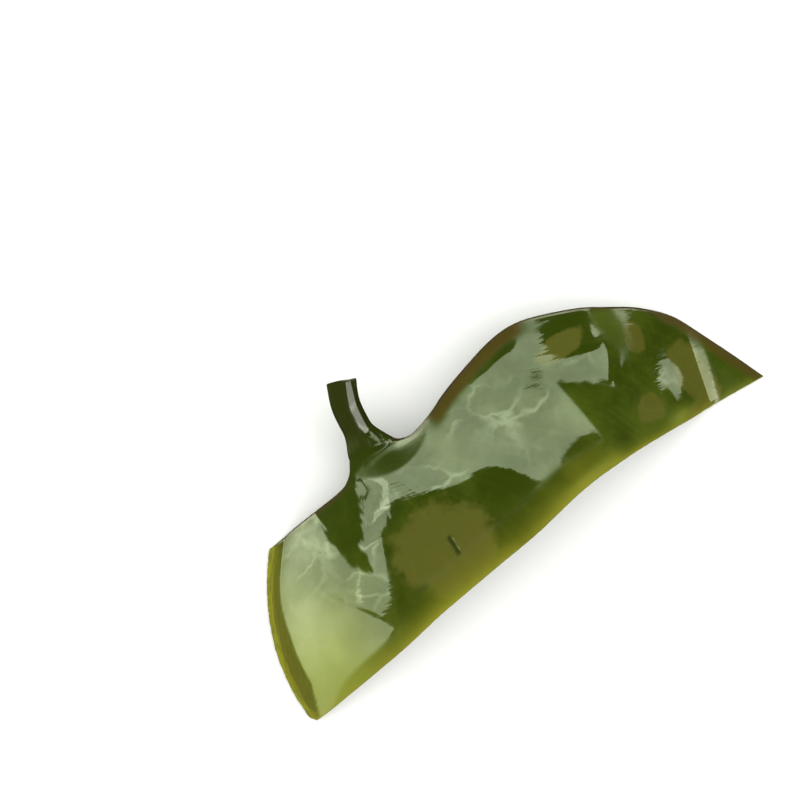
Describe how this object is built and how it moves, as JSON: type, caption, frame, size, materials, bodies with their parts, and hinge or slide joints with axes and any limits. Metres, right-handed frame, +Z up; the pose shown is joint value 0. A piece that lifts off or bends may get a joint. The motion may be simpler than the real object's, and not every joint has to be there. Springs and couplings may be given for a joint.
{
  "type": "kelp frond",
  "caption": "Cut kelp frond base: a short rounded stipe flaring into a broad, thick, wet blade with two knife-cut edges, lying draped in a low arch.",
  "frame": {"origin": "middle of the bottom of the frond's box, on the surface that it lies on", "axes": "+X along the span of the blade towards its pointed tip, +Y towards the cut end of the stipe, +Z up"},
  "size_m": [0.2142, 0.0954, 0.0373],
  "materials": {
    "wet_kelp": "wet, glossy olive green tissue, paler yellow-green along the cut edges"
  },
  "bodies": {
    "root": {"frond": "wet_kelp"}
  },
  "joints": []
}
